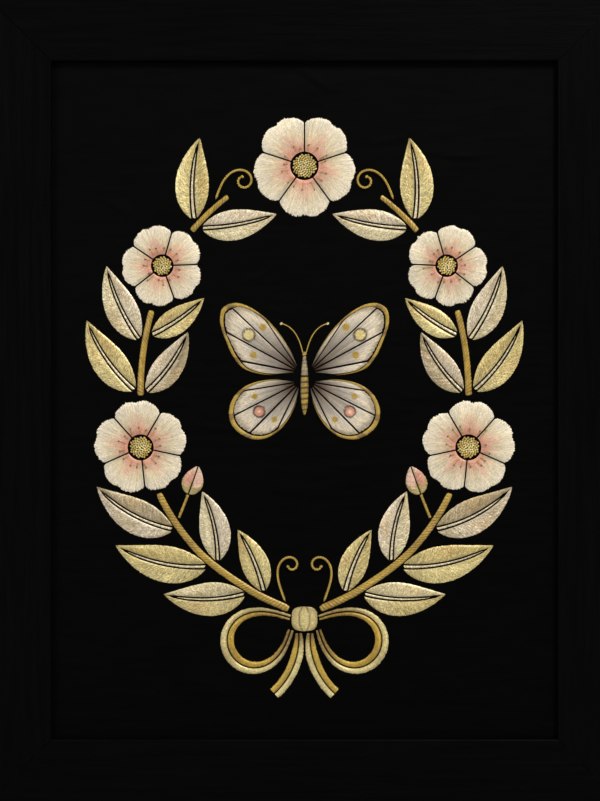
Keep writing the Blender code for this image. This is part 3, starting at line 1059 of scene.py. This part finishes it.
def bow():
    material = thread_material("ribbon_floss", roughness=0.36, metallic=0.15, speckle_and_glint=0.18)

    def loop_width(u):
        return LOOP_RIBBON / 2 * (0.4 + 0.6 * arch(u, 0.7))

    def tail_width(u):
        return TAIL_RIBBON / 2 * (0.5 + 0.5 * np.minimum(1.0, 3 * u) ** 0.7)

    # Painted shade: darker at both ends by the knot and at a fold in the middle
    def loop_fold_shade(u):
        ends = smooth_step(0.20, 0.0, u) + smooth_step(0.80, 1.0, u)
        return 0.9 * ends + 0.35 * bump_at(u, 0.5, 0.10)

    # Painted shade: darker where the tail leaves the knot and at a fold further down
    def tail_fold_shade(u):
        return 0.9 * smooth_step(0.32, 0.0, u) + 0.3 * bump_at(u, 0.68, 0.10)

    tail = walk(TAIL_START, TAIL_HEADING, TAIL_LENGTH, TAIL_TURN)
    for name, flip in both_sides("bow_loop"):
        ribbon(name, flip, loop_path(), loop_width, loop_fold_shade, material)
    for name, flip in both_sides("bow_tail"):
        ribbon(name, flip, tail, tail_width, tail_fold_shade, material)
    bow_knot(material)


def bow_knot(material):
    """The knot: threads straight across it, with two upright creases."""
    work = Stitching("bow_knot")
    upright = walk((0, KNOT_HEIGHT - KNOT_HALF_HEIGHT), 0, 2 * KNOT_HALF_HEIGHT, 0)

    def place(u, v):
        across = np.maximum(1 - np.abs(2 * u - 1) ** KNOT_SQUARENESS, 0.0) ** (1 / KNOT_SQUARENESS)
        return along(upright, u, (2 * v - 1) * np.maximum(KNOT_TOP, KNOT_HALF_WIDTH * across))

    def crease(u, v):
        bend = 0.06 * (2 * u - 1) ** 2
        return bump_at(v, 0.30 + bend, 0.035) + bump_at(v, 0.69 - bend, 0.035)

    def rise(u, v):
        return KNOT_LOFT * half_round(v) - KNOT_CREASE * crease(u, v)

    def shade(u, v, grain):
        # Painted shade in the two creases and towards the knot's edges
        rim = 0.6 * np.abs(2 * v - 1) ** 3 + 0.4 * np.abs(2 * u - 1) ** 3
        dark = 0.05 + 0.08 * grain + rim + 0.8 * crease(u, v)
        return blend(silk("bright"), silk("dark_gold"), dark)

    work.threads(int(2 * KNOT_HALF_HEIGHT / PITCH), place, rise, shade, rows=24, fleck=0.04)
    work.piece(material)


def wing(name, flip, root, outline, spots, material):
    """A wing: cells of radial long and short stitch parted by voids, in a border stitched across."""
    work = Stitching(name, flip)
    rim = smooth_curve(outline, 120)
    shares = np.linspace(0, 1, len(rim))
    span = math.radians(rim[-1, 0] - rim[0, 0])

    def stretch_out(u):
        return np.interp(u, shares, rim[:, 1]) - WING_ROOT_GAP

    def at(u, distance):
        heading = np.radians(np.interp(u, shares, rim[:, 0]))
        return root[0] + distance * np.sin(heading), root[1] + distance * np.cos(heading)

    def border_start(u):
        return WING_ROOT_GAP + stretch_out(u) - np.minimum(WING_BORDER, 0.30 * stretch_out(u))

    placed_spots = [
        (*at(u, WING_ROOT_GAP + out * stretch_out(u)), size, silk(paint)) for u, out, size, paint in spots
    ]
    for cell in range(WING_CELLS):
        low, high = cell / WING_CELLS, (cell + 1) / WING_CELLS

        def field(u, v):
            """Share across the wing and distance from the root, half a void inside the cell's edges."""
            whole = low + (high - low) * u
            first = WING_ROOT_GAP + CELL_GAP
            distance = first + (border_start(whole) - VOID - first) * v
            inset = np.minimum(VOID * 0.5 / (span * distance), (high - low) * 0.40)
            return low + inset + (high - low - 2 * inset) * u, distance

        def place(u, v):
            return at(*field(u, v))

        def rise(u, v):
            return WING_LOFT * (1 - (2 * u - 1) ** 4)

        def shade(u, v, grain):
            x, z = place(u, v)
            paint = blend(silk("umber") * 2.2, silk("grey"), smooth_step(0.0, 0.30 + 0.08 * grain, v))
            paint = blend(paint, silk("lavender"), smooth_step(0.22, 0.70, v + 0.10 * grain))
            paint = blend(paint, silk("cream"), smooth_step(0.62, 0.92, v + 0.07 * grain) * 0.75)
            paint = blend(paint, silk("umber"), 0.55 * smooth_step(0.90, 0.97, v + 0.03 * grain))
            for spot_x, spot_z, size, spot_paint in placed_spots:
                away = np.hypot(x - spot_x, z - spot_z) / size
                paint = blend(paint, spot_paint, 1 - smooth_step(0.88, 1.06, away + 0.03 * grain))
            return paint

        widest = float(span * np.max(border_start(np.linspace(low, high, 20))))
        count = int(widest / WING_CELLS / PITCH)
        work.threads(count, place, rise, shade, rows=56, jitter=0.2, fleck=0.04)

    def border_place(u, v):
        start = border_start(u)
        lean = 0.010 * (1 - v) * (1 - u)
        return at(u + lean, start + (WING_ROOT_GAP + stretch_out(u) - start) * v)

    def border_rise(u, v):
        return BORDER_LOFT * arch(v)

    def border_shade(u, v, grain):
        band = smooth_step(0.45, 0.85, np.cos(2 * np.pi * u * WING_CELLS))
        return blend(silk("old_gold") * 1.1, silk("dark_gold"), 0.10 + 0.7 * band + 0.15 * grain)

    edge = np.hypot(*np.diff(np.array(at(shares, WING_ROOT_GAP + stretch_out(shares))), axis=1)).sum()
    work.threads(int(edge / PITCH), border_place, border_rise, border_shade, rows=7)
    work.piece(material)


def wings():
    material = thread_material("wing_floss", roughness=0.42, speckle_and_glint=0.14)
    for name, flip in both_sides("wing_upper"):
        wing(name, flip, UPPER_WING_ROOT, UPPER_WING, UPPER_SPOTS, material)
    for name, flip in both_sides("wing_lower"):
        wing(name, flip, LOWER_WING_ROOT, LOWER_WING, LOWER_SPOTS, material)


# Ground, frame and board


def crease_height(x, z):
    """How far the taut silk stands out where the stitching draws it in, none beside the frame."""
    total = np.zeros_like(x)
    for middle_x, middle_z, reach, width, heading, height in CREASES:
        angle = math.radians(heading)
        run = (x - middle_x) * math.sin(angle) + (z - middle_z) * math.cos(angle)
        aside = (x - middle_x) * math.cos(angle) - (z - middle_z) * math.sin(angle) + 0.006 * run**2
        ridge = bump_at(aside, 0, width) - 0.45 * bump_at(aside, 1.7 * width, width)
        total += height * bump_at(run, 0, reach) * ridge
    edge = np.minimum(SIGHT_HALF_WIDTH - np.abs(x), SIGHT_HALF_HEIGHT - np.abs(z))
    return total * np.clip(edge / CREASE_MARGIN, 0, 1)


def silk_ground():
    """The silk: one thin closed slab whose front carries the creases."""
    width, height = silk_high.x - silk_low.x, silk_high.z - silk_low.z
    columns, rows = int(width / MM / SILK_SPACING), int(height / MM / SILK_SPACING)
    x, z = np.meshgrid(
        np.linspace(silk_low.x, silk_high.x, columns + 1), np.linspace(silk_low.z, silk_high.z, rows + 1)
    )
    front = np.stack([x, SILK_FRONT - crease_height(x / MM, z / MM) * MM, z], axis=-1).reshape(-1, 3)
    index = np.arange(x.size).reshape(x.shape)
    rim = np.concatenate([index[0, :-1], index[:-1, -1], index[-1, :0:-1], index[:0:-1, 0]])
    rim_back = x.size + np.arange(len(rim))
    back = front[rim] * (1, 0, 1) + (0, SILK_BACK, 0)
    sides = np.stack([rim, rim_back, np.roll(rim_back, -1), np.roll(rim, -1)], axis=-1)
    data = bpy.data.meshes.new("silk_ground_cloth")
    faces = [*grid_quads(index).tolist(), *sides.tolist(), rim_back[::-1].tolist()]
    data.from_pydata(np.concatenate([front, back]).tolist(), [], faces)
    cloth = dress(data, silk_ground_material(), CLOTH_SHARP, "silk_ground")


def rail(name, wood):
    """A rail of the frame, its long outer edges rubbed a little round."""
    shape = bmesh.new()
    shape.from_mesh(nodes[name].data)
    shape.transform(nodes[name].matrix_world)
    bmesh.ops.remove_doubles(shape, verts=shape.verts, dist=SAME_POINT)
    flat = math.radians(WOOD_FLAT)
    bmesh.ops.dissolve_limit(shape, angle_limit=flat, verts=shape.verts, edges=shape.edges)
    bmesh.ops.recalc_face_normals(shape, faces=shape.faces)
    worn = [edge for edge in shape.edges if edge.is_convex and edge.calc_length() > LONG_EDGE]
    bmesh.ops.bevel(shape, geom=worn, offset=EDGE_WEAR, segments=3, profile=0.5, affect="EDGES")
    data = bpy.data.meshes.new(f"{name}_wood")
    shape.to_mesh(data)
    shape.free()
    dress(data, wood, WOOD_SHARP, name)


def frame_and_board():
    across = wood_material("ebonised_wood_across", (GRAIN_STRETCH, 1.0, 1.0))
    upright = wood_material("ebonised_wood_upright", (1.0, 1.0, GRAIN_STRETCH))
    rail("frame_top", across)
    rail("frame_bottom", across)
    rail("frame_left", upright)
    rail("frame_right", upright)
    board = nodes["mount_board"]
    board.data.materials.clear()
    board.data.materials.append(board_material())


# Stage


def camera():
    """Face-on, framed as the photograph is: the sight opening a little right of the picture's middle."""
    data = bpy.data.cameras.new("camera")
    data.lens = LENS
    data.sensor_width = SENSOR
    made = add_object(data, "camera")
    distance = IMAGE_HEIGHT * PIXEL * LENS / SENSOR
    x = (IMAGE_WIDTH / 2 - SIGHT_MIDDLE_PIXEL[0]) * PIXEL
    z = (SIGHT_MIDDLE_PIXEL[1] - IMAGE_HEIGHT / 2) * PIXEL
    made.location = (x, SILK_FRONT - distance, z)
    made.rotation_euler = (math.radians(90), 0, 0)
    bpy.context.scene.camera = made


def area_light(name, location, size, power, tint):
    data = bpy.data.lights.new(name, "AREA")
    data.shape = "DISK"
    data.size = size
    data.energy = power
    data.color = tint
    made = add_object(data, name)
    made.location = location
    made.rotation_euler = (-Vector(location)).to_track_quat("-Z", "Y").to_euler()


def lights():
    for light in LIGHTS:
        area_light(*light)
    world = bpy.data.worlds.new("studio")
    world.use_nodes = True
    background = world.node_tree.nodes["Background"]
    background.inputs["Color"].default_value = (1, 1, 1, 1)
    background.inputs["Strength"].default_value = STUDIO_LIGHT
    bpy.context.scene.world = world


def floor():
    data = bpy.data.meshes.new("floor")
    height = cad_low[2] - FLOOR_GAP
    signs = ((-1, -1), (1, -1), (1, 1), (-1, 1))
    corners = [(x * FLOOR_HALF, y * FLOOR_HALF, height) for x, y in signs]
    data.from_pydata(corners, [], [(0, 1, 2, 3)])
    surface = Nodes("pale_floor")
    cloud = surface.noise(surface.place, FLOOR_SCALE, detail=4.0)
    surface.ramp(cloud, dark=(0.60, 0.59, 0.57), light=(0.64, 0.63, 0.61))
    surface.set(surface.shader, Roughness=0.85)
    data.materials.append(surface.material)
    plane = add_object(data, "floor")
    plane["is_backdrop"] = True


BRANCH = route(BRANCH_POINTS)
camera()
silk_ground()
stems()
leaves()
blooms()
buds()
bow()
wings()
frame_and_board()
lights()
floor()
bpy.context.scene.view_settings.view_transform = "Standard"
